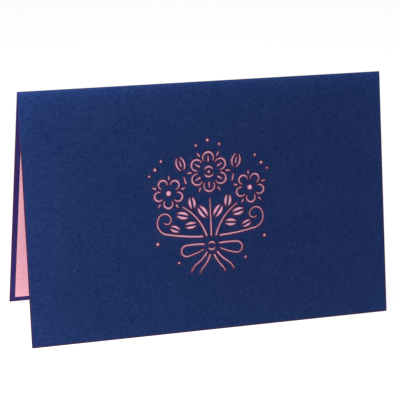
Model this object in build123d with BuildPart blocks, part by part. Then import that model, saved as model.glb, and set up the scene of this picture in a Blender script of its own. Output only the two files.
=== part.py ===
"""A folded greeting card that stands like a tent, with a flower ornament cut through its front.

The cover is one sheet of navy card folded over at the top. A pink liner sheet lies against the
inside of the cover, folded with it, and shows through the cut lines of the front panel.

Frame: X runs along the fold, the front panel faces -Y, and Z is up. The origin is on the table,
under the middle of the fold. Lengths are in millimetres and angles in degrees.
"""

import os
from math import cos, pi, radians, sin, sqrt

from build123d import *

# Card
card_width = 150.0  # along the fold
panel_height = 100.0  # one panel, over its outside from the middle of the fold to its foot
opening_angle = 27.0  # between the two panels as the card stands
cover_thickness = 0.3
corner_radius = 0.4  # at the four outer corners of the cover

# Liner
liner_thickness = 0.2
liner_margin = 2.3  # cover left bare along the ends and the feet
fold_radius = 0.1  # on the inside of the liner's fold

# Cut ornament, drawn on a square grid whose origin is the middle of the front panel
grid = 1.0
line_width = 0.7  # of a line where it is broad
fine_width = 0.45  # of a line at its tip
bridge = 0.8  # card left between neighbouring lines
rib_width = 0.8  # card left between the two halves of a leaf
petal_mouth = 110.0  # opening of a petal's line, towards the middle of its flower
ring_sweep = 124.0  # of each of the two arcs that make a ring
cut_overrun = 0.2  # the cutting beam passes this far beyond both faces of the card

half_angle = opening_angle / 2
liner_outer_radius = fold_radius + liner_thickness
cover_outer_radius = liner_outer_radius + cover_thickness
fold_half_arc = cover_outer_radius * radians(90 - half_angle)
cover_leg = panel_height - fold_half_arc  # the flat run of a panel, below the fold
liner_leg = cover_leg - liner_margin

# The inner edge of each foot touches the table, which sets the height of the fold's axis
fold_axis_height = cover_leg * cos(radians(half_angle)) - liner_outer_radius * sin(radians(half_angle))
fold_end = Plane((0, 0, fold_axis_height), x_dir=(0, 1, 0), z_dir=(1, 0, 0))

front_normal = Vector(0, -cos(radians(half_angle)), sin(radians(half_angle)))
front_up = Vector(0, sin(radians(half_angle)), cos(radians(half_angle)))
top_of_front = Vector(0, 0, fold_axis_height) + front_normal * cover_outer_radius
middle_of_front = top_of_front - front_up * (panel_height / 2 - fold_half_arc)
front_face = Plane(middle_of_front, x_dir=(1, 0, 0), z_dir=front_normal)


def folded_sheet(inner_radius, thickness, leg):
    """End view of a sheet folded about the local origin: two flat legs joined by an arc."""
    with BuildSketch() as section:
        with BuildLine():
            outside = CenterArc((0, 0), inner_radius + thickness, half_angle, 90 - half_angle)
            inside = CenterArc((0, 0), inner_radius, half_angle, 90 - half_angle)
            outer_leg = PolarLine(outside @ 0, leg, half_angle - 90)
            inner_leg = PolarLine(inside @ 0, leg, half_angle - 90)
            Line(outer_leg @ 1, inner_leg @ 1)
            Line(outside @ 1, inside @ 1)
        make_face()
        mirror(about=Plane.YZ)
    return section.sketch


def at(x, y, heading=0.0):
    """A place on the ornament's grid, turned to a heading."""
    return Location((x * grid, y * grid, 0), (0, 0, heading))


def stroke(x, y, heading, *bends):
    """A line that starts broad on the grid with a heading, and follows tangent arcs to a fine tip.

    Each bend is its radius on the grid and the angle that it turns, positive to the left.
    """
    whole = sum(radius * grid * radians(abs(turn)) for radius, turn in bends)
    with BuildSketch() as line:
        with BuildLine():
            ends = []
            for side in (1, -1):
                here = Vector(x, y) * grid
                ahead = Vector(1, 0).rotate(Axis.Z, heading)
                half_width = line_width / 2
                ends.append(here + ahead.rotate(Axis.Z, side * 90) * half_width)
                for radius, turn in bends:
                    spine = JernArc(here, ahead, radius * grid, turn, mode=Mode.PRIVATE)
                    narrowing = (line_width - fine_width) / 2 * spine.length / whole
                    flank = []
                    for share in (0, 0.5, 1):
                        outward = (spine % share).rotate(Axis.Z, side * 90)
                        flank.append(spine @ share + outward * (half_width - share * narrowing))
                    ThreePointArc(*flank)
                    here = spine @ 1
                    ahead = spine % 1
                    half_width -= narrowing
                ends.append(flank[-1])
            Line(ends[0], ends[2])
            Line(ends[1], ends[3])
        make_face()
    return line.sketch


def swelling_arc(radius, sweep):
    """An arc line about the local origin, centred on +X: broad in its middle and fine at both tips."""
    with BuildSketch() as arc:
        add(stroke(radius, 0, 90, (radius, sweep / 2)))
        mirror(about=Plane.XZ)
    return arc.sketch


def cut_tick(inner, outer):
    """Cut a straight tapered line along the local X axis, from one distance on the grid to another."""
    Polygon(
        (inner * grid, -line_width / 2),
        (outer * grid, -fine_width / 2),
        (outer * grid, fine_width / 2),
        (inner * grid, line_width / 2),
        align=None,
    )


def cut_dots(*dots):
    """Cut round dots, each given as its place and radius on the grid."""
    for x, y, radius in dots:
        with Locations(at(x, y)):
            Circle(radius * grid)


def cut_petals(count, petal_radius, first, tick_length):
    """Cut a ring of open round petals, with a tick outside each gap between them."""
    reach = (2 * petal_radius * grid + fine_width + bridge) / (2 * sin(pi / count))
    petal = swelling_arc(petal_radius, 360 - petal_mouth)
    with PolarLocations(reach, count, start_angle=first):
        add(petal)
    # A tick starts where both of its corners clear the petals beside it by a bridge
    beside = reach * sin(pi / count) - line_width / 2
    clear = petal_radius * grid + line_width / 2 + bridge
    tick_start = (reach * cos(pi / count) + sqrt(clear**2 - beside**2)) / grid
    with PolarLocations(0, count, start_angle=first + 180 / count):
        cut_tick(tick_start, tick_start + tick_length)


def cut_ring(radius):
    """Cut a ring in two arcs, open at its left and right."""
    arc = swelling_arc(radius, ring_sweep)
    with PolarLocations(0, 2, start_angle=90):
        add(arc)


def cut_leaf(x, y, heading, length, bulge):
    """Cut a leaf in two halves, with a rib of card left between them."""
    with BuildSketch() as leaf:
        with BuildLine():
            rib = Line((0, rib_width / 2), (length * grid, rib_width / 2))
            SagittaArc(rib @ 0, rib @ 1, bulge * grid)
        make_face()
        mirror(about=Plane.XZ)
    with Locations(at(x, y, heading)):
        add(leaf.sketch)


def cut_bud(x, y, heading, petal_radius=3.7, petal_sweep=88.0, fold_from=-1.1, fold_to=1.3):
    """Cut a closed bud: two petals that face each other, with a fold between them."""
    tip_offset = petal_radius * grid * cos(radians(petal_sweep / 2))
    inset = tip_offset - (fine_width + bridge) / 2
    petal = swelling_arc(petal_radius, petal_sweep)
    with Locations(at(x, y, heading)):
        cut_tick(fold_from, fold_to)
        with PolarLocations(-inset, 2, start_angle=90):
            add(petal)


with BuildPart() as cover:
    with BuildSketch(fold_end):
        add(folded_sheet(liner_outer_radius, cover_thickness, cover_leg))
    extrude(amount=card_width / 2, both=True)

    # The card's square corners are the short edges that run through its thickness
    through_front = cover.edges().filter_by(Axis((0, 0, 0), front_normal))
    through_back = cover.edges().filter_by(Axis((0, 0, 0), front_normal.rotate(Axis.Z, 180)))
    fillet(through_front + through_back, radius=corner_radius)

    with BuildSketch(front_face.offset(cut_overrun)):
        # Side stem with its leaves and flower, on the right
        add(stroke(1.9, -12.0, 74, (21.5, -43)))
        cut_leaf(1.5, -4.4, 54, length=5.8, bulge=1.2)
        cut_leaf(7.1, -0.7, 81, length=5.0, bulge=1.1)
        cut_leaf(9.1, -3.6, 14, length=5.2, bulge=1.1)
        cut_leaf(6.0, -6.9, -5, length=4.8, bulge=1.0)
        cut_leaf(13.0, -9.0, 24, length=4.4, bulge=0.9)
        with Locations(at(17.0, 6.3)):
            cut_petals(5, petal_radius=1.8, first=58, tick_length=1.6)
        # Scroll, bow loop and ribbon tails
        add(stroke(3.4, -12.0, 2, (80, 11), (4.6, 110), (2.7, 140), (1.6, 150)))
        add(stroke(3.0, -15.2, 8, (30, -15), (2.2, -184), (24, -17)))
        add(stroke(2.1, -18.3, -60, (12, 28), (7, -38)))
        add(stroke(0.8, -19.4, -70, (14, 24), (6, -26)))
        # Bud on its stalk
        add(stroke(9.6, 9.6, 70, (14, 12)))
        cut_bud(11.6, 17.6, 74)
        cut_dots((17.0, 6.3, 1.0), (22.2, 16.0, 0.6), (24.6, 13.6, 0.45), (19.6, 19.2, 0.5))
        cut_dots((22.4, -13.6, 0.6), (14.0, -21.8, 0.5), (4.9, 24.6, 0.5))
        mirror(about=Plane.YZ)
        # Middle flower, its stem, and the knot of the bow
        with Locations(at(0, 13.8)):
            cut_petals(6, petal_radius=2.2, first=90, tick_length=1.8)
            with PolarLocations(0, 6, start_angle=90):
                cut_tick(4.1, 6.5)
            cut_ring(2.0)
        with Locations(at(0, -12.0, 90)):
            cut_tick(0, 15.2)
        with Locations(at(0, -16.0)):
            cut_ring(1.5)
        cut_dots((0, 13.8, 0.55), (0, 26.4, 0.6))
    extrude(amount=-cover_thickness - 2 * cut_overrun, mode=Mode.SUBTRACT)

with BuildPart() as liner:
    with BuildSketch(fold_end):
        add(folded_sheet(fold_radius, liner_thickness, liner_leg))
    extrude(amount=card_width / 2 - liner_margin, both=True)

cover.part.label = "cover"
liner.part.label = "liner"

os.makedirs("parts", exist_ok=True)
export_step(cover.part, "parts/cover.step")
export_step(liner.part, "parts/liner.step")
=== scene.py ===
# %% [markdown]
# # A folded greeting card with a cut ornament
#
# The card is two sheets of mica-coated paper. A navy cover is folded once along its top and stands
# on its two feet like a tent, and a pink liner lies against its inside. A laser has cut an
# ornament of thin lines through the front panel, so the liner shows through it as pink lines.
#
# Both sheets come with the frame as solids at their real size, holes and fold included. Their
# shape is right, so this lesson keeps them as they are, and spends its work on what the eye reads
# as real: the coated paper, the burnt edges that a laser leaves, and the studio light.

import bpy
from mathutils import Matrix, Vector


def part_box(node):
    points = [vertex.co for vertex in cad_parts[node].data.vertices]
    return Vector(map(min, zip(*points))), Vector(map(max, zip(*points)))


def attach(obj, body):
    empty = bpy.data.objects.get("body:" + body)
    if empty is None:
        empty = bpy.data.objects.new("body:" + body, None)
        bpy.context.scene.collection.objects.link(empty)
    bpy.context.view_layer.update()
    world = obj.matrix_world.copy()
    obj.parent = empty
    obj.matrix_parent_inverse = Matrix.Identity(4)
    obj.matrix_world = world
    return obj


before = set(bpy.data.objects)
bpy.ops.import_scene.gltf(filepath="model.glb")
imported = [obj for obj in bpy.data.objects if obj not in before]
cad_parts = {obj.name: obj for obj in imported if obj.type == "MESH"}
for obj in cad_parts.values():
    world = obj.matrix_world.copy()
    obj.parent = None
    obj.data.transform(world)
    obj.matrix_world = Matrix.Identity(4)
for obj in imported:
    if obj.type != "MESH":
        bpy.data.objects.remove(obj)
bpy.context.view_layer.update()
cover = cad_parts["cover"]
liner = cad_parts["liner"]

# %% [markdown]
# ## Measure the card
#
# A fold is two flat legs joined by an arc about one axis. Every finish below needs to know where
# that axis is and how the legs lean. They could be typed in again, but then they would go wrong
# when the card is made in another size, so they are measured on the sheets. The front face gives
# its own direction, and the top of the card then gives the height of the fold's axis.

# %% Find the lean of the panels and the axis of the fold
import math

from mathutils import Vector

MM = 0.001
cover_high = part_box("cover")[1]
liner_low, liner_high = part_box("liner")
half_width = cover_high.x

LOOKS_AHEAD = 0.9  # cosine of 26 degrees: a face of the front panel looks no further away from the front
LOOKS_BACK = 0.99  # cosine of 8 degrees: the same for its inner face, against the way of its outer one

facing_front = [f for f in cover.data.polygons if -f.normal.y > LOOKS_AHEAD and f.normal.z > 0]
front_normal = sum((f.normal * f.area for f in facing_front), Vector()).normalized()
half_angle = math.asin(front_normal.z)


def front_leg(sheet):
    """How far the outer and the inner face of a sheet's front leg lie along the front direction."""
    outer = max(front_normal.dot(v.co) for v in sheet.data.vertices)
    real_faces = [f for f in sheet.data.polygons if f.area > 0]
    looking_back = [f for f in real_faces if -f.normal.dot(front_normal) > LOOKS_BACK]
    inner = max(front_normal.dot(sheet.data.vertices[i].co) for f in looking_back for i in f.vertices)
    return outer, inner


cover_outer, cover_inner = front_leg(cover)
liner_outer, liner_inner = front_leg(liner)
fold_height = (cover_high.z - cover_outer) / (1 - math.sin(half_angle))
axis_distance = fold_height * math.sin(half_angle)  # of the fold's axis, along the same direction
cover_middle = (cover_outer + cover_inner) / 2 - axis_distance  # from the axis to the middle of the sheet
liner_middle = (liner_outer + liner_inner) / 2 - axis_distance
print(f"panels lean {math.degrees(half_angle):.2f} degrees, fold axis {fold_height / MM:.2f} mm up")
print(f"cover {(cover_outer - cover_inner) / MM:.2f} mm thick")
print(f"liner {(liner_outer - liner_inner) / MM:.2f} mm thick")

# %% [markdown]
# ## Two helpers for the node trees
#
# Colours are read as sRGB hex values, but shaders mix light, which is linear, so one function
# turns the first into the second. A second one adds a node, sets it and links it in one call,
# which keeps each tree below about as short as a description of the paper would be.

# %% Colour and node helpers
import bpy


def linear(hex_colour):
    """An sRGB hex colour as the linear colour, with alpha 1, that a node socket takes."""
    shares = [int(hex_colour[i : i + 2], 16) / 255 for i in (1, 3, 5)]
    return [c / 12.92 if c <= 0.04045 else ((c + 0.055) / 1.055) ** 2.4 for c in shares] + [1.0]


def add_node(tree, kind, links=None, **settings):
    """Add a node of a kind to a tree.

    The settings are the node's own. The links go from an input's name or number to a value, or to
    the output that feeds it.
    """
    node = tree.nodes.new(kind)
    for name, value in settings.items():
        setattr(node, name, value)
    for key, value in (links or {}).items():
        if isinstance(value, bpy.types.NodeSocket):
            tree.links.new(value, node.inputs[key])
        else:
            node.inputs[key].default_value = value
    return node


print("sRGB mid grey is", round(linear("#808080")[0], 3), "of white in linear light")

# %% [markdown]
# ## Where the laser has cut
#
# The coating is only on the two faces of a sheet. Its edges, those of the ornament and those round
# the outline, show the burnt core instead. The edges could have a material of their own, but a
# shader can also tell them apart by itself: on a face the surface looks the way the sheet looks
# at that place, and on an edge it looks across it. The sheet looks the way of its leg below the
# fold axis and turns with the fold above it, where only the two ends of the card are edges.

# %% A mask that is 1 on cut edges
EDGE_ON = 0.5  # cosine of 60 degrees: what is turned further than that from the sheet's way is an edge


def cut_edge_mask(tree, z):
    """An output that is 1 on the edges of a folded sheet and 0 on its faces."""
    surface = add_node(tree, "ShaderNodeNewGeometry").outputs["True Normal"]
    nearest = 0.0
    for side in (1, -1):
        leg_normal = Vector((0, side * front_normal.y, front_normal.z))
        product = {0: surface, 1: leg_normal}
        along = add_node(tree, "ShaderNodeVectorMath", product, operation="DOT_PRODUCT").outputs["Value"]
        share = add_node(tree, "ShaderNodeMath", {0: along}, operation="ABSOLUTE").outputs[0]
        nearest = add_node(tree, "ShaderNodeMath", {0: share, 1: nearest}, operation="MAXIMUM").outputs[0]
    across = {0: nearest, 1: EDGE_ON}
    across_leg = add_node(tree, "ShaderNodeMath", across, operation="LESS_THAN").outputs[0]
    below_axis = add_node(tree, "ShaderNodeMath", {0: z, 1: fold_height}, operation="LESS_THAN").outputs[0]
    both = {0: across_leg, 1: below_axis}
    leg_edge = add_node(tree, "ShaderNodeMath", both, operation="MULTIPLY").outputs[0]
    sideways = add_node(tree, "ShaderNodeSeparateXYZ", {0: surface}).outputs["X"]
    to_end = add_node(tree, "ShaderNodeMath", {0: sideways}, operation="ABSOLUTE").outputs[0]
    along_fold = {0: to_end, 1: EDGE_ON}
    end_edge = add_node(tree, "ShaderNodeMath", along_fold, operation="GREATER_THAN").outputs[0]
    return add_node(tree, "ShaderNodeMath", {0: leg_edge, 1: end_edge}, operation="MAXIMUM").outputs[0]


print(f"below {fold_height / MM:.2f} mm an edge is what looks across a leg")

# %% [markdown]
# ## The coating of mica flakes
#
# Both sheets are paper with a coating of fine mica flakes. From reading distance that gives the eye
# a fine mottled grain, a little longer along the sheet than across it, because the fibres lie that
# way, and a few single flakes that face the eye and glint. Those glints are painted, as a few
# lighter specks in the colour.
#
# The grain could be an image on each sheet. Noise on Object coordinates is used instead, since it
# has no seam at the fold and its scale can be given in millimetres. Real flakes and fibres are a
# tenth of a millimetre and less, which is too fine to show, so all of them are drawn coarser.

# %% The grain
GRAIN = 1.3 * MM  # spacing of the largest clumps of fibre; each later octave is half as large
SPECK = 0.4 * MM  # spacing of the coating's specks
OCTAVES = 3.0  # how many finer layers of fibre lie over those clumps
OCTAVE_SHOWS = 0.9  # strength of each layer, as a share of the one before
GRAIN_STRETCH = 0.75  # scale of the grain along the sheet, where it is a third longer than across
CLOUD = 14 * MM  # spacing of the slow changes in tone across a sheet
CLOUD_SHARE = 0.18  # how much of the mix are clouds
SPECK_SHARE = 0.43  # and how much of that mix gives way to specks
DARKEST = 0.28  # value of the mixed noise where the grain is 0
LIGHTEST = 0.72  # and where it is 1


def paper_grain(tree, place):
    """The grain of a sheet, from 0 to 1."""
    along = {0: place, 1: (GRAIN_STRETCH, 1, 1)}
    stretched = add_node(tree, "ShaderNodeVectorMath", along, operation="MULTIPLY").outputs[0]
    fibres = {"Vector": stretched, "Scale": 1 / GRAIN, "Detail": OCTAVES, "Roughness": OCTAVE_SHOWS}
    clumps = add_node(tree, "ShaderNodeTexNoise", fibres).outputs["Fac"]
    clouds = add_node(tree, "ShaderNodeTexNoise", {"Vector": place, "Scale": 1 / CLOUD}).outputs["Fac"]
    fine = {"Vector": stretched, "Scale": 1 / SPECK, "Detail": 0.0}
    specks = add_node(tree, "ShaderNodeTexNoise", fine).outputs["Fac"]
    slow = add_node(tree, "ShaderNodeMix", {"Factor": CLOUD_SHARE, "A": clumps, "B": clouds}).outputs[0]
    mixed = add_node(tree, "ShaderNodeMix", {"Factor": SPECK_SHARE, "A": slow, "B": specks}).outputs[0]
    span = {"Value": mixed, "From Min": DARKEST, "From Max": LIGHTEST}
    return add_node(tree, "ShaderNodeMapRange", span).outputs[0]


print(f"clumps {GRAIN / MM:.1f} mm, specks {SPECK / MM:.1f} mm, clouds {CLOUD / MM:.0f} mm")

# %% Painted glints of single flakes
FLAKE = 0.45 * MM  # spacing of the flakes, also drawn too coarse
LONE_SHARE = 0.004  # share of the flakes that face the eye
PAINTED_GLINT = 0.6  # share of the flakes' colour that the brightest painted glint shows
FLAKE_BODY = 0.3  # a flake is whole up to this distance from its middle, in spacings
FLAKE_RIM = 0.6  # and gone at this one


def painted_glints(tree, place):
    """How strongly a painted glint of a single flake shows at a place: a few bright ones to the sheet."""
    cells = add_node(tree, "ShaderNodeTexVoronoi", {"Vector": place, "Scale": 1 / FLAKE})
    lot = add_node(tree, "ShaderNodeSeparateXYZ", {0: cells.outputs["Color"]}).outputs["X"]
    chosen = {"Value": lot, "From Min": 1 - LONE_SHARE, "To Max": PAINTED_GLINT}
    picked = add_node(tree, "ShaderNodeMapRange", chosen).outputs[0]
    span = {"Value": cells.outputs["Distance"], "From Min": FLAKE_RIM, "From Max": FLAKE_BODY}
    near = add_node(tree, "ShaderNodeMapRange", span).outputs[0]
    return add_node(tree, "ShaderNodeMath", {0: picked, 1: near}, operation="MULTIPLY").outputs[0]


flakes = 2 * half_width * cover_high.z / FLAKE**2
print(f"about {flakes * LONE_SHARE:.0f} of {flakes:.0f} flakes on a panel are bright")

# %% [markdown]
# ## A painted highlight on the edges, and a cracked fold
#
# Along the fold and along the outline the coating is painted lighter in the paper's own colour,
# most at the edge itself and less and less over some millimetres. That is a painted highlight,
# standing for the light that the bend and the edges catch. On the bend the coating has also
# cracked, into fine pale lines that run with the fold.
#
# Such marks are often painted by hand. Here they follow from the distances to the ends, the foot
# and the fold, which the place on the card gives, so they stay right on a card of any size. The
# highlights add up, so a corner comes out lighter than the middle of an edge.

# %% Painted highlight on the edges and the fold
FOLD_HIGHLIGHT = 1.15  # gain in brightness at the fold, a painted highlight
FOLD_REACH = 1.7 * MM  # the painted highlight is half as strong at this distance
OUTLINE_HIGHLIGHT = 0.3  # the same painted highlight for the ends and the feet
OUTLINE_REACH = 4 * MM


def painted_highlight(tree, place):
    """How much brighter the coating is painted at a place than in the middle of a panel, as a factor: a
    painted highlight.
    """
    x, _, z = add_node(tree, "ShaderNodeSeparateXYZ", {0: place}).outputs
    from_middle = add_node(tree, "ShaderNodeMath", {0: x}, operation="ABSOLUTE").outputs[0]
    rest = {0: half_width, 1: from_middle}
    to_end = add_node(tree, "ShaderNodeMath", rest, operation="SUBTRACT").outputs[0]
    to_fold = add_node(tree, "ShaderNodeMath", {0: cover_high.z, 1: z}, operation="SUBTRACT").outputs[0]
    total = 1.0
    for distance, gain, reach in (
        (to_end, OUTLINE_HIGHLIGHT, OUTLINE_REACH),
        (z, OUTLINE_HIGHLIGHT, OUTLINE_REACH),
        (to_fold, FOLD_HIGHLIGHT, FOLD_REACH),
    ):
        reaches = add_node(tree, "ShaderNodeMath", {0: distance, 1: reach}, operation="DIVIDE").outputs[0]
        further = add_node(tree, "ShaderNodeMath", {0: reaches, 1: 1.0}, operation="ADD").outputs[0]
        share = add_node(tree, "ShaderNodeMath", {0: gain, 1: further}, operation="DIVIDE").outputs[0]
        total = add_node(tree, "ShaderNodeMath", {0: share, 1: total}, operation="ADD").outputs[0]
    return total


print(f"the burnish is half as strong {FOLD_REACH / MM:.1f} mm from the fold")

# %% A cracked fold
CRACK = 0.12 * MM  # spacing of the cracks across the fold
CRACK_LENGTH = 2.5 * MM  # and along it
CRACK_OCTAVES = 2.0  # finer layers, which fray the cracks
CRACK_SHOWS = 0.4  # share of the flakes' pale colour in a crack
WHOLE = 0.5  # value of the noise up to which the coating is whole
OPEN = 0.62  # and from which a crack is open
BELOW_BEND = 0.3 * MM  # the cracks begin this far below the fold's axis
INTO_BEND = 0.4 * MM  # and show in full this far above it


def fold_cracks(tree, place):
    """How strongly the cracks of the bend show at a place."""
    along = {0: place, 1: (CRACK / CRACK_LENGTH, 1, 1)}
    stretched = add_node(tree, "ShaderNodeVectorMath", along, operation="MULTIPLY").outputs[0]
    lines = {"Vector": stretched, "Scale": 1 / CRACK, "Detail": CRACK_OCTAVES}
    noise = add_node(tree, "ShaderNodeTexNoise", lines).outputs["Fac"]
    span = {"Value": noise, "From Min": WHOLE, "From Max": OPEN, "To Max": CRACK_SHOWS}
    cracked = add_node(tree, "ShaderNodeMapRange", span).outputs[0]
    z = add_node(tree, "ShaderNodeSeparateXYZ", {0: place}).outputs["Z"]
    bend = {"Value": z, "From Min": fold_height - BELOW_BEND, "From Max": fold_height + INTO_BEND}
    on_bend = add_node(tree, "ShaderNodeMapRange", bend).outputs[0]
    return add_node(tree, "ShaderNodeMath", {0: on_bend, 1: cracked}, operation="MULTIPLY").outputs[0]


print(f"cracks every {CRACK / MM:.2f} mm, {CRACK_LENGTH / MM:.1f} mm long")

# %% [markdown]
# ## The two faces of a sheet
#
# The two faces of a sheet get different colours, and the difference is painted light and shade.
# The inside of the cover is painted more violet than its outside, for the pink light that the liner
# throws on it. The liner is one paper through, and its inside is painted a darker, greyer pink than
# its outside, as painted shade. One material can do both faces, because a place lies on the inside
# where it is nearer to the fold's axis than the middle of the sheet is.

# %% A mask that is 1 on the inside
def on_the_inside(tree, place, middle_radius):
    """1 on the face of a sheet that looks into the fold, and 0 on the other one."""
    _, y, z = add_node(tree, "ShaderNodeSeparateXYZ", {0: place}).outputs
    apart = add_node(tree, "ShaderNodeMath", {0: y}, operation="ABSOLUTE").outputs[0]
    above = add_node(tree, "ShaderNodeMath", {0: z, 1: fold_height}, operation="SUBTRACT").outputs[0]
    from_axis = add_node(tree, "ShaderNodeCombineXYZ", {"Y": apart, "Z": above}).outputs[0]
    outward = (0, math.cos(half_angle), math.sin(half_angle))
    along = add_node(tree, "ShaderNodeVectorMath", {0: from_axis, 1: outward}, operation="DOT_PRODUCT")
    inner = {0: along.outputs["Value"], 1: middle_radius}
    return add_node(tree, "ShaderNodeMath", inner, operation="LESS_THAN").outputs[0]


print(f"the middle of the cover lies {cover_middle / MM:.2f} mm from the axis")
print(f"the middle of the liner lies {liner_middle / MM:.2f} mm from it")

# %% [markdown]
# ## Burnt coating and burnt core
#
# A laser burns card as it cuts it. Right beside the cut the coating is gone and the burnt core
# shows, and smoke has stained the coating for about half a millimetre more. How near a place is
# to a cut can't be told from its coordinates, so the crust that is grown beside the cuts below
# brings it along as an attribute named scorch, which is 1 at the cut and 0 at the outer side. A
# sheet without that attribute reads as 0 there, and shows the burn on its cut edges alone. Near
# the fold, where fingers hold the card to open it, the burn on the faces has been rubbed off.

# %% How burnt a place is
SMOKE_FALL = 0.7  # below 1, the smoke stays dark for longer before it fades
SMOKE_SPECKLE = 0.3  # share of the smoke that the lightest grain sheds
BARE_FROM = 0.65  # of the scorch, from where the core begins to show
BARE_TO = 0.95  # and from where nothing else does
RUBBED = 17 * MM  # the burn is rubbed off down to this far below the fold
UNRUBBED = 22 * MM  # and whole from here down


def laser_burn(tree, grain, z):
    """The share of smoke-stained coating at a place, and the share of bare burnt core."""
    scorch = add_node(tree, "ShaderNodeAttribute", attribute_name="scorch").outputs["Fac"]
    held = {"Value": z, "From Min": cover_high.z - RUBBED, "From Max": cover_high.z - UNRUBBED}
    remains = add_node(tree, "ShaderNodeMapRange", held).outputs[0]
    burn = add_node(tree, "ShaderNodeMath", {0: scorch, 1: remains}, operation="MULTIPLY").outputs[0]
    smoke = add_node(tree, "ShaderNodeMath", {0: burn, 1: SMOKE_FALL}, operation="POWER").outputs[0]
    sheds = {"Value": grain, "To Min": 1.0, "To Max": 1 - SMOKE_SPECKLE}
    speckle = add_node(tree, "ShaderNodeMapRange", sheds).outputs[0]
    stained = add_node(tree, "ShaderNodeMath", {0: smoke, 1: speckle}, operation="MULTIPLY").outputs[0]
    rim = {"Value": burn, "From Min": BARE_FROM, "From Max": BARE_TO}
    charred = add_node(tree, "ShaderNodeMapRange", rim).outputs[0]
    either = {0: charred, 1: cut_edge_mask(tree, z)}
    bare = add_node(tree, "ShaderNodeMath", either, operation="MAXIMUM").outputs[0]
    return stained, bare


print(f"the grain thins the smoke by up to {SMOKE_SPECKLE:.0%}")

# %% [markdown]
# ## The two papers
#
# A mica coating has a soft sheen that is partly metallic and takes the colour of the paper. So each
# paper is one Principled shader, a little metallic and fairly rough, with almost no white gloss,
# and its colour is a stack of layers: the dye, then what lies on it, each with a mask that says
# where. A loop lays the layers, so that the stack reads as a list. A faint bump gives the coating
# its tooth in raking light.

# %% A function for the two papers
PALE = 0.21  # share of the flakes' colour where the grain is lightest
FELT = 0.16 * MM  # spacing of the marks of the paper maker's felt
FELT_SHARE = 0.4  # how much of the bump they are; the rest is the grain
TOOTH = 0.02 * MM  # height of the bump
TOOTH_SHOWS = 0.24  # share of it that turns the light
WHITE_GLOSS = 0.06  # specular level, far below that of a varnish


def coated_paper(name, outside, inside_with_painted_light, flakes, burnt, core, middle_radius, mica, rough):
    """Paper with a mica coating: the colours of its two faces, which differ by painted light and shade,
    its flakes, and its burnt coating and core.
    """
    material = bpy.data.materials.new(name)
    material.use_nodes = True
    tree = material.node_tree
    tree.nodes.clear()
    place = add_node(tree, "ShaderNodeTexCoord").outputs["Object"]
    z = add_node(tree, "ShaderNodeSeparateXYZ", {0: place}).outputs["Z"]
    grain = paper_grain(tree, place)
    pale = add_node(tree, "ShaderNodeMath", {0: grain, 1: PALE}, operation="MULTIPLY").outputs[0]
    stained, bare = laser_burn(tree, grain, z)

    colour = linear(outside)
    for blend, layer, share in (
        # the colour of the inner face carries painted light: pink bounce on the cover, shade on the liner
        ("MIX", linear(inside_with_painted_light), on_the_inside(tree, place, middle_radius)),
        ("MIX", linear(flakes), pale),
        # painted glints of single flakes that face the eye
        ("MIX", linear(flakes), painted_glints(tree, place)),
        # a painted highlight: the coating made lighter along the fold and the outline
        ("MULTIPLY", painted_highlight(tree, place), 1.0),
        ("MIX", linear(flakes), fold_cracks(tree, place)),
        ("MIX", linear(burnt), stained),
        ("MIX", linear(core), bare),
    ):
        laid = {"Factor": share, "A": colour, "B": layer}
        mix = add_node(tree, "ShaderNodeMix", laid, data_type="RGBA", blend_type=blend)
        colour = mix.outputs["Result"]

    felt = add_node(tree, "ShaderNodeTexNoise", {"Vector": place, "Scale": 1 / FELT}).outputs["Fac"]
    relief = add_node(tree, "ShaderNodeMix", {"Factor": FELT_SHARE, "A": grain, "B": felt}).outputs[0]
    bump = add_node(tree, "ShaderNodeBump", {"Height": relief, "Strength": TOOTH_SHOWS, "Distance": TOOTH})
    finish = {
        "Base Color": colour,
        "Metallic": mica,
        "Roughness": rough,
        "Specular IOR Level": WHITE_GLOSS,
        "Normal": bump.outputs["Normal"],
    }
    shader = add_node(tree, "ShaderNodeBsdfPrincipled", finish)
    add_node(tree, "ShaderNodeOutputMaterial", {"Surface": shader.outputs[0]})
    return material


print(f"felt marks {FELT / MM:.2f} mm, tooth {TOOTH / MM:.2f} mm")

# %% Navy card and pink paper
navy_card = coated_paper(
    "mica_coated_card_navy",
    outside="#071c4a",
    # the violet of the inner face is painted light: the pink that the liner throws on it
    inside_with_painted_light="#21054a",
    flakes="#4f689e",
    burnt="#4e1f3c",
    core="#4a2230",
    middle_radius=cover_middle,
    mica=0.35,
    rough=0.5,
)
pink_paper = coated_paper(
    "mica_coated_paper_pink",
    # the darker, greyer pink of the inner face is painted shade on the same paper
    outside="#df9ebe",
    inside_with_painted_light="#c18e9d",
    flakes="#f2d0da",
    burnt="#8a4550",
    core="#c9909c",
    middle_radius=liner_middle,
    mica=0.15,
    rough=0.55,
)
for sheet, paper in ((cover, navy_card), (liner, pink_paper)):
    sheet.data.materials.clear()
    sheet.data.materials.append(paper)
    print(sheet.name, "is", paper.name)

# %% [markdown]
# ## The crust beside every cut
#
# The charred and stained coating beside a cut stands a little proud of the sheet. From a step away
# it is what draws the thin dark rim round the ornament and round the outline of the card. It is
# wider here than the quarter of a millimetre or so that a laser chars, because it stands for the
# smoke as well.
#
# The rim follows every edge of the cover. It could be drawn as a curve offset from each cut, but
# Geometry Nodes can take it from the cover's own shape, whatever the ornament is. The tree keeps
# only the cut walls, whose rims are then open edges. Each rim is extruded across the sheet, away
# from the wall's own direction, which gives an even band along straight and curved cuts alike.
# The band gets its attribute and becomes a thin closed crust, half in and half on the sheet.

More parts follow.
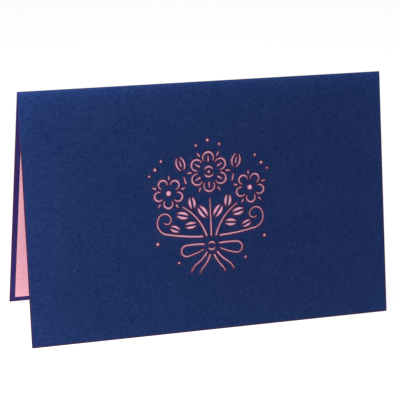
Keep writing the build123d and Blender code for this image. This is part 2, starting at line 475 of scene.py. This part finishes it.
# %% The tree and its inputs
crust_sizes = {
    "Lean": half_angle,
    "Fold axis height": fold_height,
    "Middle radius": cover_middle,
    "Liner end": liner_high.x,
    "Liner foot": liner_low.z,
    "Band width": 0.65 * MM,
    "Miter limit": 1.2,  # most that a corner of the band may stand out, in band widths
    "Lift": 0.012 * MM,  # height of the crust over the sheet, at the cut
    "Wedge": 0.9,  # share of that height which is gone at the outer side of the band
    "Weld": 0.001 * MM,  # corners closer than this are one
}
scorch = bpy.data.node_groups.new("scorch_beside_cuts", "GeometryNodeTree")
sockets = scorch.interface
sockets.new_socket("Geometry", in_out="INPUT", socket_type="NodeSocketGeometry")
for name in crust_sizes:
    sockets.new_socket(name, in_out="INPUT", socket_type="NodeSocketFloat")
sockets.new_socket("Material", in_out="INPUT", socket_type="NodeSocketMaterial")
sockets.new_socket("Geometry", in_out="OUTPUT", socket_type="NodeSocketGeometry")
given = add_node(scorch, "NodeGroupInput").outputs
print("inputs:", [socket.name for socket in given if socket.name])

# %% [markdown]
# ### How the sheet faces
#
# A field is worked out wherever it is used, so these few nodes answer for any point or face of the
# tree: which way the card's outer face looks there, and how far from the fold's axis it is.

# %% The outward direction, and the distance from the fold's axis
place = add_node(scorch, "GeometryNodeInputPosition").outputs[0]
x, y, z = add_node(scorch, "ShaderNodeSeparateXYZ", {0: place}).outputs
axis_z = given["Fold axis height"]
above = add_node(scorch, "ShaderNodeMath", {0: z, 1: axis_z}, operation="SUBTRACT").outputs[0]
from_axis = add_node(scorch, "ShaderNodeCombineXYZ", {"Y": y, "Z": above}).outputs[0]
side = add_node(scorch, "ShaderNodeMath", {0: y}, operation="SIGN").outputs[0]
level = add_node(scorch, "ShaderNodeMath", {0: given["Lean"]}, operation="COSINE").outputs[0]
level_out = add_node(scorch, "ShaderNodeMath", {0: level, 1: side}, operation="MULTIPLY").outputs[0]
upward = add_node(scorch, "ShaderNodeMath", {0: given["Lean"]}, operation="SINE").outputs[0]
on_leg = add_node(scorch, "ShaderNodeCombineXYZ", {"Y": level_out, "Z": upward}).outputs[0]
on_fold = add_node(scorch, "ShaderNodeVectorMath", {0: from_axis}, operation="NORMALIZE").outputs[0]
folded = add_node(scorch, "ShaderNodeMath", {0: above, 1: 0.0}, operation="GREATER_THAN").outputs[0]
leg_or_fold = {"Factor": folded, "A": on_leg, "B": on_fold}
outward = add_node(scorch, "ShaderNodeMix", leg_or_fold, data_type="VECTOR").outputs["Result"]
along_outward = {0: from_axis, 1: outward}
distance = add_node(scorch, "ShaderNodeVectorMath", along_outward, operation="DOT_PRODUCT")
past_middle = {0: distance.outputs["Value"], 1: given["Middle radius"]}
beyond = add_node(scorch, "ShaderNodeMath", past_middle, operation="SUBTRACT").outputs[0]
outer_or_inner = add_node(scorch, "ShaderNodeMath", {0: beyond}, operation="SIGN").outputs[0]
both_ways = {0: outward, "Scale": outer_or_inner}
away = add_node(scorch, "ShaderNodeVectorMath", both_ways, operation="SCALE").outputs["Vector"]
print(len(scorch.nodes), "nodes say how the sheet faces")

# %% Keep only the cut walls, which face across the sheet
welding = {"Geometry": given["Geometry"], "Distance": given["Weld"]}
whole = add_node(scorch, "GeometryNodeMergeByDistance", welding).outputs[0]
direction = add_node(scorch, "GeometryNodeInputNormal").outputs["True Normal"]
facing = add_node(scorch, "ShaderNodeVectorMath", {0: direction, 1: outward}, operation="DOT_PRODUCT")
share = add_node(scorch, "ShaderNodeMath", {0: facing.outputs["Value"]}, operation="ABSOLUTE").outputs[0]
is_wall = add_node(scorch, "ShaderNodeMath", {0: share, 1: EDGE_ON}, operation="LESS_THAN").outputs[0]
kept = {"Geometry": whole, "Selection": is_wall}
walls = add_node(scorch, "GeometryNodeSeparateGeometry", kept, domain="FACE").outputs["Selection"]
print(len(scorch.nodes), "nodes, with the walls")

# %% [markdown]
# ### Which way is into the card
#
# At a point of the rim the way into the card is against the wall's direction, averaged over the
# walls that meet there. At a corner that average is a diagonal, and the band has to reach further
# along it to stay as wide, up to the miter limit.

# %% The way into the card, kept at each point
face_way = add_node(scorch, "GeometryNodeCaptureAttribute", domain="FACE")
face_way.capture_items.new("VECTOR", "way")
scorch.links.new(walls, face_way.inputs["Geometry"])
scorch.links.new(direction, face_way.inputs["way"])
diagonal = {0: direction, 1: face_way.outputs["way"]}
miter = add_node(scorch, "ShaderNodeVectorMath", diagonal, operation="DOT_PRODUCT").outputs["Value"]
inverse = {0: 1.0, 1: given["Miter limit"]}
least = add_node(scorch, "ShaderNodeMath", inverse, operation="DIVIDE").outputs[0]
kept_miter = add_node(scorch, "ShaderNodeMath", {0: miter, 1: least}, operation="MAXIMUM").outputs[0]
widened = {0: given["Band width"], 1: kept_miter}
reach = add_node(scorch, "ShaderNodeMath", widened, operation="DIVIDE").outputs[0]
inward = add_node(scorch, "ShaderNodeMath", {0: reach, 1: -1.0}, operation="MULTIPLY").outputs[0]
into_card = add_node(scorch, "ShaderNodeVectorMath", {0: direction, "Scale": inward}, operation="SCALE")
point_way = add_node(scorch, "GeometryNodeCaptureAttribute", domain="POINT")
point_way.capture_items.new("VECTOR", "way")
scorch.links.new(face_way.outputs["Geometry"], point_way.inputs["Geometry"])
scorch.links.new(into_card.outputs["Vector"], point_way.inputs["way"])
print(len(scorch.nodes), "nodes, with the way into the card")

# %% Choose the rims: all on the outer face, and on the inner one only those that the liner leaves bare
ONE_FACE = 1.5  # an edge with fewer faces than this has only one, so it is open

neighbours = add_node(scorch, "GeometryNodeInputMeshEdgeNeighbors").outputs["Face Count"]
lonely = {0: neighbours, 1: ONE_FACE}
open_edge = add_node(scorch, "ShaderNodeMath", lonely, operation="LESS_THAN").outputs[0]
outside = add_node(scorch, "ShaderNodeMath", past_middle, operation="GREATER_THAN").outputs[0]
from_middle = add_node(scorch, "ShaderNodeMath", {0: x}, operation="ABSOLUTE").outputs[0]
ends = {0: from_middle, 1: given["Liner end"]}
past_end = add_node(scorch, "ShaderNodeMath", ends, operation="GREATER_THAN").outputs[0]
feet = {0: z, 1: given["Liner foot"]}
past_foot = add_node(scorch, "ShaderNodeMath", feet, operation="LESS_THAN").outputs[0]
bare = add_node(scorch, "ShaderNodeMath", {0: past_end, 1: past_foot}, operation="MAXIMUM").outputs[0]
seen = add_node(scorch, "ShaderNodeMath", {0: outside, 1: bare}, operation="MAXIMUM").outputs[0]
rim = add_node(scorch, "ShaderNodeMath", {0: seen, 1: open_edge}, operation="MULTIPLY").outputs[0]
print(len(scorch.nodes), "nodes, with the rims")

# %% Lay a flat band from each rim across the sheet, and mark it 1 at the cut and 0 at its outer side
rims = {"Mesh": point_way.outputs["Geometry"], "Selection": rim, "Offset Scale": 0.0}
band = add_node(scorch, "GeometryNodeExtrudeMesh", rims, mode="EDGES")
way = point_way.outputs["way"]
moved = {"Geometry": band.outputs["Mesh"], "Selection": band.outputs["Top"], "Offset": way}
spread = add_node(scorch, "GeometryNodeSetPosition", moved).outputs[0]
kept = {"Geometry": spread, "Selection": band.outputs["Side"]}
bands = add_node(scorch, "GeometryNodeSeparateGeometry", kept, domain="FACE").outputs["Selection"]
not_top = {0: 1.0, 1: band.outputs["Top"]}
at_cut = add_node(scorch, "ShaderNodeMath", not_top, operation="SUBTRACT").outputs[0]
stored = {"Geometry": bands, "Name": "scorch", "Value": at_cut}
on_points = {"data_type": "FLOAT", "domain": "POINT"}
marked = add_node(scorch, "GeometryNodeStoreNamedAttribute", stored, **on_points).outputs[0]
looking = add_node(scorch, "ShaderNodeVectorMath", {0: direction, 1: away}, operation="DOT_PRODUCT")
against = {0: looking.outputs["Value"], 1: 0.0}
is_turned = add_node(scorch, "ShaderNodeMath", against, operation="LESS_THAN").outputs[0]
turned = add_node(scorch, "GeometryNodeFlipFaces", {"Mesh": marked, "Selection": is_turned}).outputs[0]
print(len(scorch.nodes), "nodes, with the bands, which all look away from the sheet")

# %% [markdown]
# ### From a flat band to a closed crust
#
# The crust is a solid: the band is sunk by the lift and extruded to twice the lift, and its sunk
# side is closed by a turned copy of the band. Where two cuts are near each other their bands
# overlap, and two tops at one height would flicker. So the top falls towards its outer side, like
# a wedge, and at each place the band of the nearer cut lies on top.

# %% Close the bands into a crust
lift = given["Lift"]
sink = add_node(scorch, "ShaderNodeMath", {0: lift, 1: -1.0}, operation="MULTIPLY").outputs[0]
down = add_node(scorch, "ShaderNodeVectorMath", {0: away, "Scale": sink}, operation="SCALE")
sunk = {"Geometry": turned, "Offset": down.outputs["Vector"]}
base = add_node(scorch, "GeometryNodeSetPosition", sunk).outputs[0]
thickness = add_node(scorch, "ShaderNodeMath", {0: lift, 1: lift}, operation="ADD").outputs[0]
raised = {"Mesh": base, "Offset Scale": thickness, "Individual": False}
risen = add_node(scorch, "GeometryNodeExtrudeMesh", raised, mode="FACES")
named = add_node(scorch, "GeometryNodeInputNamedAttribute", {"Name": "scorch"}, data_type="FLOAT")
burnt = named.outputs["Attribute"]
fall = add_node(scorch, "ShaderNodeMath", {0: burnt, 1: 1.0}, operation="SUBTRACT").outputs[0]
drop = add_node(scorch, "ShaderNodeMath", {0: fall, 1: lift}, operation="MULTIPLY").outputs[0]
most = add_node(scorch, "ShaderNodeMath", {0: drop, 1: given["Wedge"]}, operation="MULTIPLY").outputs[0]
lowered = add_node(scorch, "ShaderNodeVectorMath", {0: away, "Scale": most}, operation="SCALE")
lower = lowered.outputs["Vector"]
wedge = {"Geometry": risen.outputs["Mesh"], "Selection": risen.outputs["Top"], "Offset": lower}
top = add_node(scorch, "GeometryNodeSetPosition", wedge).outputs[0]
underside = add_node(scorch, "GeometryNodeFlipFaces", {"Mesh": base}).outputs[0]
joined = add_node(scorch, "GeometryNodeJoinGeometry")
for part in (top, underside):
    scorch.links.new(part, joined.inputs[0])
closing = {"Geometry": joined.outputs[0], "Distance": given["Weld"]}
closed = add_node(scorch, "GeometryNodeMergeByDistance", closing).outputs[0]
real = add_node(scorch, "GeometryNodeRealizeInstances", {"Geometry": closed}).outputs[0]
dressing = {"Geometry": real, "Material": given["Material"]}
dressed = add_node(scorch, "GeometryNodeSetMaterial", dressing).outputs[0]
add_node(scorch, "NodeGroupOutput", {"Geometry": dressed})
print(len(scorch.nodes), "nodes in the whole tree")

# %% Grow the crust on the cover
crust_source = bpy.data.objects.new("crust_source", cover.data.copy())
bpy.context.scene.collection.objects.link(crust_source)
grow = crust_source.modifiers.new("scorch", "NODES")
grow.node_group = scorch
for socket in scorch.interface.items_tree:
    if socket.name in crust_sizes:
        grow[socket.identifier] = crust_sizes[socket.name]
    if socket.name == "Material":
        grow[socket.identifier] = navy_card
evaluated = crust_source.evaluated_get(bpy.context.evaluated_depsgraph_get())
crust_mesh = bpy.data.meshes.new_from_object(evaluated)
crust_mesh.name = "laser_scorch"
# the normals stored with the cover come along, and don't fit the crust
crust_mesh.attributes.remove(crust_mesh.attributes["custom_normal"])
laser_scorch = bpy.data.objects.new("laser_scorch", crust_mesh)
bpy.context.scene.collection.objects.link(laser_scorch)
bpy.data.objects.remove(crust_source)
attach(laser_scorch, "root")
print("crust:", len(crust_mesh.polygons), "faces of", [m.name for m in crust_mesh.materials])

# %% [markdown]
# ## The studio
#
# The card stands on a white sweep that is lit until it is pure white. It gets soft light from
# everywhere, which a plain white world and a floor that glows a little can give. Two softboxes do
# the rest: a large one high in front, and a small one close to the left end of the card, which
# makes the left part of the front panel lighter than the right.

# %% The white sweep
FLOOR_WIDTH = 6.0  # metres
FLOOR_GLOW = 0.65  # the floor's own light, which keeps it white beside the card
WORLD_LIGHT = 0.25  # light from all round; the camera sees the backdrop as white

bpy.ops.mesh.primitive_plane_add(size=FLOOR_WIDTH, location=(0, 0, 0))
floor = bpy.context.object
floor.name = "white_sweep"
white = bpy.data.materials.new("white_paper_sweep")
white.use_nodes = True
sweep_shader = white.node_tree.nodes["Principled BSDF"]
matt_white = {
    "Base Color": linear("#f4f4f4"),
    "Roughness": 0.9,
    "Specular IOR Level": 0.1,
    "Emission Color": linear("#ffffff"),
    "Emission Strength": FLOOR_GLOW,
}
for name, value in matt_white.items():
    sweep_shader.inputs[name].default_value = value
floor.data.materials.append(white)

world = bpy.data.worlds.new("studio")
bpy.context.scene.world = world
world.use_nodes = True
sky = world.node_tree
to_camera = add_node(sky, "ShaderNodeLightPath").outputs["Is Camera Ray"]
strength = add_node(sky, "ShaderNodeMapRange", {"Value": to_camera, "To Min": WORLD_LIGHT, "To Max": 1.0})
sky.nodes["Background"].inputs["Color"].default_value = linear("#ffffff")
sky.links.new(strength.outputs[0], sky.nodes["Background"].inputs["Strength"])
print("a sweep", FLOOR_WIDTH, "m wide, under a world of strength", WORLD_LIGHT)


# %% Two softboxes
def softbox(name, place, aim, width, height, watts):
    """A rectangular area light at a place that shines at a point, with sizes in metres."""
    data = bpy.data.lights.new(name, "AREA")
    data.shape = "RECTANGLE"
    data.size = width
    data.size_y = height
    data.energy = watts
    lamp = bpy.data.objects.new(name, data)
    lamp.location = place
    lamp.visible_camera = False
    lamp.rotation_euler = (Vector(aim) - Vector(place)).to_track_quat("-Z", "Y").to_euler()
    bpy.context.scene.collection.objects.link(lamp)
    print(name, "of", watts, "W")


softbox(
    "left_softbox",
    place=(-0.19, -0.16, 0.13),
    aim=(-0.03, -0.02, 0.07),
    width=0.08,
    height=0.12,
    watts=0.38,
)
softbox(
    "top_softbox",
    place=(0.1, -0.2, 0.9),
    aim=(0, 0, cover_high.z / 2),
    width=0.9,
    height=0.9,
    watts=2.2,
)

# %% [markdown]
# ## The camera
#
# The camera stands where that of the photograph stood. Its angles, distance and lens could be
# found by trial, but the straight edges of the card give them: they are the values at which the
# edges of the model fall on those in the photograph.

# %% Place the camera
from mathutils import Matrix

CAMERA_AZIMUTH = -17.887  # degrees from straight in front, towards the card's left end
CAMERA_ELEVATION = 19.688
CAMERA_ROLL = 1.5805
CAMERA_DISTANCE = 0.6436  # metres, from the point that it looks at
AIM_RIGHT = -0.0004326  # metres from the origin to that point, across the view before the roll
AIM_UP = 0.0442785  # and up in it
LENS = 138.96  # focal length, in millimetres
SENSOR = 36  # width, in millimetres

azimuth = math.radians(CAMERA_AZIMUTH)
elevation = math.radians(CAMERA_ELEVATION)
roll = math.radians(CAMERA_ROLL)
level_back = Vector((math.sin(azimuth), -math.cos(azimuth), 0))
back = level_back * math.cos(elevation) + Vector((0, 0, math.sin(elevation)))
right = Vector((math.cos(azimuth), math.sin(azimuth), 0))
up = back.cross(right)
camera_data = bpy.data.cameras.new("camera")
camera_data.lens = LENS
camera_data.sensor_width = SENSOR
camera = bpy.data.objects.new("camera", camera_data)
bpy.context.scene.collection.objects.link(camera)
across = right * math.cos(roll) + up * math.sin(roll)
upright = up * math.cos(roll) - right * math.sin(roll)
turn = Matrix((across, upright, back)).transposed().to_4x4()
camera.matrix_world = Matrix.Translation(right * AIM_RIGHT + up * AIM_UP + back * CAMERA_DISTANCE) @ turn
bpy.context.scene.camera = camera
bpy.context.scene.view_settings.view_transform = "Standard"
print("camera at", [round(c, 3) for c in camera.matrix_world.translation])
